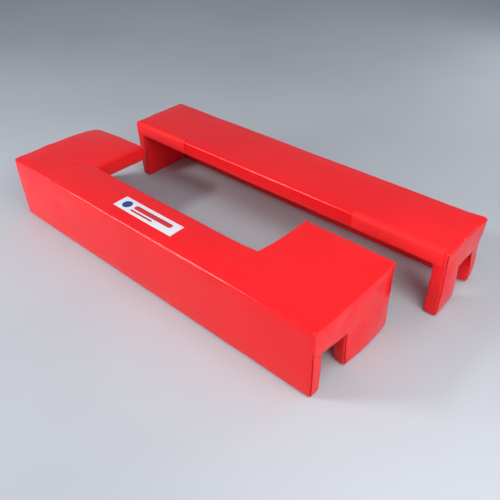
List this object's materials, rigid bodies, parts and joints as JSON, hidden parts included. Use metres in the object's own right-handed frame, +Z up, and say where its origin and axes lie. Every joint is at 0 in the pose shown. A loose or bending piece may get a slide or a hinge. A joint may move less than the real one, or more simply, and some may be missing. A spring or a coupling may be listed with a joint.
{
  "type": "slotted protective floor pad set",
  "caption": "Hollow foam pads in a glossy coated cover: a C-shaped pad and a straight pad that close round the base of a sliding upright, with rail notches at one end.",
  "frame": {"origin": "on the floor, at the middle of the rectangle that the two pads take up as they stand apart", "axes": "+X along the pads, towards the end with the rail notches; +Y from the C-shaped front pad to the rear pad; +Z up"},
  "size_m": [2.035, 1.024, 0.3304],
  "materials": {
    "cover": "glossy PVC-coated polyester fabric",
    "lining": "PVC-coated polyester fabric, inside of the pad",
    "hem": "PVC-coated polyester fabric, underside of the walls",
    "foam": "open-cell polyurethane foam",
    "hook": "woven hook tape",
    "loop": "brushed loop fabric",
    "label": "printed vinyl patch",
    "zip_tape": "woven tape with nylon coil",
    "zip_metal": "nickel-plated die-cast zinc"
  },
  "bodies": {
    "front_pad": {"front_bar_foam": "foam", "front_header_foam": "foam", "front_label_patch": "label", "front_left_arm_foam": "foam", "front_left_end_cover": "cover", "front_left_hook_strip": "hook", "front_left_wall_end": "cover", "front_left_wall_foam": "foam", "front_left_wall_hem": "hem", "front_left_wall_lining": "lining", "front_main_cover": "cover", "front_notch_lining": "lining", "front_right_arm_foam": "foam", "front_right_end_cover": "cover", "front_right_hook_strip": "hook", "front_right_wall_end": "cover", "front_right_wall_foam": "foam", "front_right_wall_hem": "hem", "front_right_wall_lining": "lining", "front_skirt_foam": "foam", "front_skirt_hem": "hem", "front_skirt_lining": "lining", "front_slab_lining": "lining", "front_slot_band": "cover", "front_zip_lower_half": "zip_tape", "front_zip_upper_half": "zip_tape"},
    "rear_pad": {"rear_front_band": "cover", "rear_header_foam": "foam", "rear_left_end_cover": "cover", "rear_left_loop_patch": "loop", "rear_left_wall_end": "cover", "rear_left_wall_foam": "foam", "rear_left_wall_hem": "hem", "rear_left_wall_lining": "lining", "rear_main_cover": "cover", "rear_notch_lining": "lining", "rear_right_end_cover": "cover", "rear_right_loop_patch": "loop", "rear_right_wall_end": "cover", "rear_right_wall_foam": "foam", "rear_right_wall_hem": "hem", "rear_right_wall_lining": "lining", "rear_skirt_foam": "foam", "rear_skirt_hem": "hem", "rear_skirt_lining": "lining", "rear_slab_foam": "foam", "rear_slab_lining": "lining", "rear_zip_lower_half": "zip_tape", "rear_zip_upper_half": "zip_tape"},
    "front_zip_pull": {"front_zip_pull": "zip_metal"},
    "front_zip_slider": {"front_zip_slider": "zip_metal"},
    "rear_zip_pull": {"rear_zip_pull": "zip_metal"},
    "rear_zip_slider": {"rear_zip_slider": "zip_metal"}
  },
  "joints": [
    {"name": "rear_pad_close", "type": "slide", "parent": "front_pad", "child": "rear_pad", "axis": [-0.6273, -0.7788, 0], "range_m": [0, 0.2152]},
    {"name": "front_zip_run", "type": "slide", "parent": "front_pad", "child": "front_zip_slider", "axis": [-1, 0, 0], "range_m": [0, 1.472]},
    {"name": "front_pull_turn", "type": "hinge", "parent": "front_zip_slider", "child": "front_zip_pull", "pos_m": [0.6685, -0.4449, 0.15], "axis": [0, 0, -1], "range_deg": [0, 170]},
    {"name": "rear_zip_run", "type": "slide", "parent": "rear_pad", "child": "rear_zip_slider", "axis": [-1, 0, 0], "range_m": [0, 1.472]},
    {"name": "rear_pull_turn", "type": "hinge", "parent": "rear_zip_slider", "child": "rear_zip_pull", "pos_m": [0.8035, 0.4449, 0.15], "axis": [0, 0, 1], "range_deg": [0, 170]}
  ]
}
